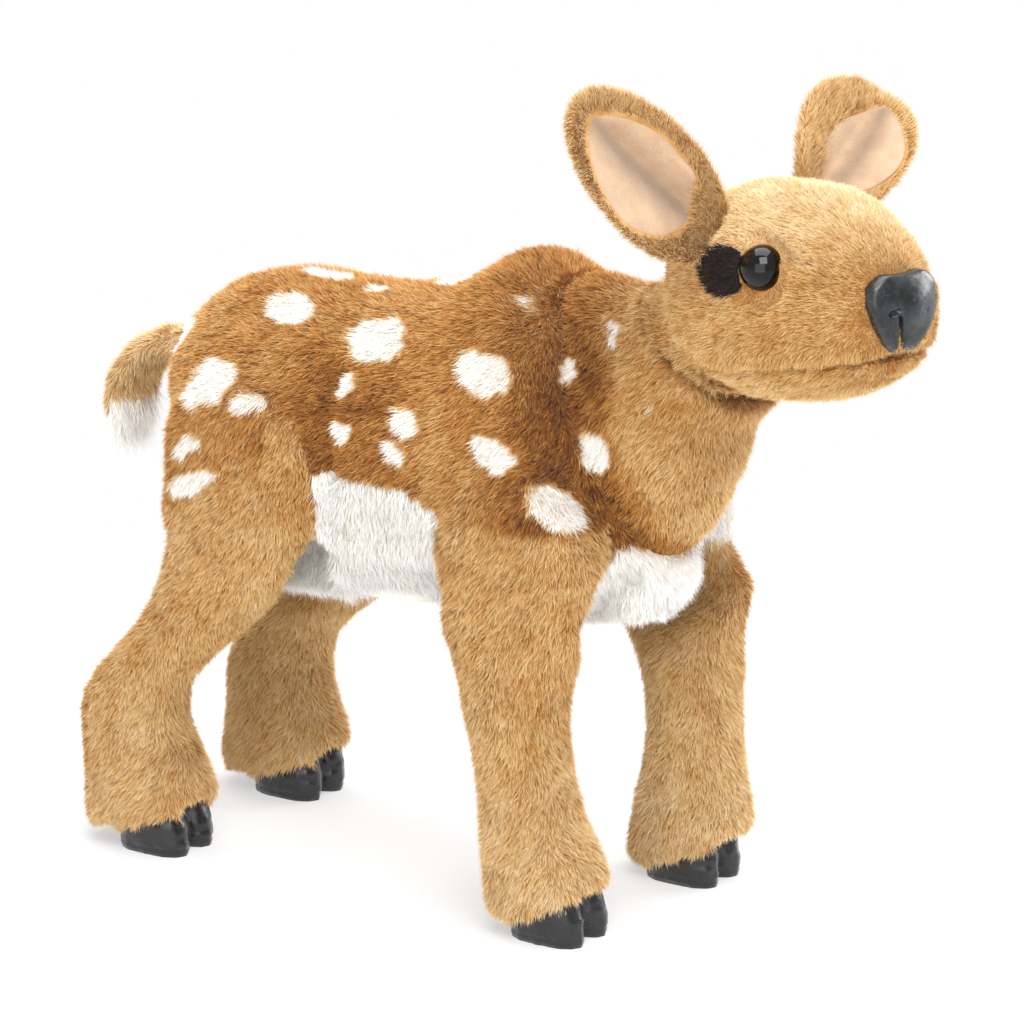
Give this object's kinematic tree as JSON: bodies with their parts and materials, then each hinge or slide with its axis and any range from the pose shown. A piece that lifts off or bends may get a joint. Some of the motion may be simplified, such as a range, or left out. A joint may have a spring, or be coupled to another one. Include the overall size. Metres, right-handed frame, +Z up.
{
  "type": "plush fawn hand puppet",
  "caption": "Standing plush fawn hand puppet with a spotted saddle, soft legs with leatherette hooves, turning head, opening mouth and a hand sleeve under the belly.",
  "frame": {"origin": "middle of the bounding box, on the floor under the hooves", "axes": "+Z up, the fawn faces -Y, +X on its left"},
  "size_m": [0.1715, 0.416, 0.3531],
  "materials": {
    "spotted_plush": "deep brown pile with white spots",
    "tan_plush": "golden tan pile",
    "white_plush": "white pile",
    "dark_plush": "dark short pile",
    "velour": "short beige velour",
    "leatherette": "satin black",
    "eye_gloss": "glossy black",
    "lining": "plain woven lining",
    "stuffing": "fibre filling",
    "washer_plastic": "plain moulded"
  },
  "bodies": {
    "torso": {"saddle_panel": "spotted_plush", "belly_panel": "white_plush", "body_stuffing": "stuffing", "hand_sleeve": "lining", "sleeve_hem": "white_plush"},
    "neck": {"neck_cover": "tan_plush", "neck_lining": "lining"},
    "head": {"head_cover": "tan_plush", "head_stuffing": "stuffing", "finger_pocket": "lining", "upper_mouth_lining": "lining", "nose": "leatherette", "eye_right": "eye_gloss", "eye_left": "eye_gloss", "eye_washer_right": "washer_plastic", "eye_washer_left": "washer_plastic", "eye_patch_right": "dark_plush", "eye_patch_left": "dark_plush"},
    "jaw": {"jaw_cover": "tan_plush", "lower_mouth_lining": "lining"},
    "ear_right_body": {"ear_right": "tan_plush", "ear_lining_right": "velour"},
    "ear_left_body": {"ear_left": "tan_plush", "ear_lining_left": "velour"},
    "tail": {"tail_top": "tan_plush", "tail_underside": "white_plush"},
    "leg_front_right_body": {"leg_front_right": "tan_plush", "leg_stuffing_front_right": "stuffing", "hoof_front_right": "leatherette"},
    "leg_front_left_body": {"leg_front_left": "tan_plush", "leg_stuffing_front_left": "stuffing", "hoof_front_left": "leatherette"},
    "leg_hind_right_body": {"leg_hind_right": "tan_plush", "leg_stuffing_hind_right": "stuffing", "hoof_hind_right": "leatherette"},
    "leg_hind_left_body": {"leg_hind_left": "tan_plush", "leg_stuffing_hind_left": "stuffing", "hoof_hind_left": "leatherette"}
  },
  "joints": [
    {"name": "neck_nod", "type": "hinge", "parent": "torso", "child": "neck", "pos_m": [-0.00054, -0.04713, 0.195], "axis": [1, 0, 0], "range_deg": [-12, 25], "stiffness_Nm_per_rad": 1.5},
    {"name": "head_turn", "type": "hinge", "parent": "neck", "child": "head", "pos_m": [-0.00054, -0.09913, 0.234], "axis": [0, -0.5707, 0.8211], "range_deg": [-25, 25], "stiffness_Nm_per_rad": 0.6},
    {"name": "jaw_open", "type": "hinge", "parent": "head", "child": "jaw", "pos_m": [-0.01102, -0.12066, 0.229], "axis": [0.9613, -0.2756, 0], "range_deg": [0, 25], "stiffness_Nm_per_rad": 0.15},
    {"name": "ear_right_fold", "type": "hinge", "parent": "head", "child": "ear_right_body", "pos_m": [-0.04192, -0.11596, 0.293], "axis": [0.8628, -0.0713, 0.5005], "range_deg": [-20, 20], "stiffness_Nm_per_rad": 0.05},
    {"name": "ear_left_fold", "type": "hinge", "parent": "head", "child": "ear_left_body", "pos_m": [0.01768, -0.13305, 0.293], "axis": [0.3562, -0.8699, -0.3411], "range_deg": [-20, 20], "stiffness_Nm_per_rad": 0.05},
    {"name": "tail_lift", "type": "hinge", "parent": "torso", "child": "tail", "pos_m": [-0.00054, 0.15687, 0.203], "axis": [1, 0, 0], "range_deg": [0, 60], "stiffness_Nm_per_rad": 0.05},
    {"name": "leg_front_right_swing", "type": "hinge", "parent": "torso", "child": "leg_front_right_body", "pos_m": [-0.00054, -0.03913, 0.152], "axis": [1, 0, 0], "range_deg": [-20, 20], "stiffness_Nm_per_rad": 1},
    {"name": "leg_front_left_swing", "type": "hinge", "parent": "torso", "child": "leg_front_left_body", "pos_m": [-0.00054, -0.03913, 0.152], "axis": [1, 0, 0], "range_deg": [-20, 20], "stiffness_Nm_per_rad": 1},
    {"name": "leg_hind_right_swing", "type": "hinge", "parent": "torso", "child": "leg_hind_right_body", "pos_m": [-0.00054, 0.09987, 0.165], "axis": [1, 0, 0], "range_deg": [-20, 20], "stiffness_Nm_per_rad": 1},
    {"name": "leg_hind_left_swing", "type": "hinge", "parent": "torso", "child": "leg_hind_left_body", "pos_m": [-0.00054, 0.09987, 0.165], "axis": [1, 0, 0], "range_deg": [-20, 20], "stiffness_Nm_per_rad": 1}
  ]
}
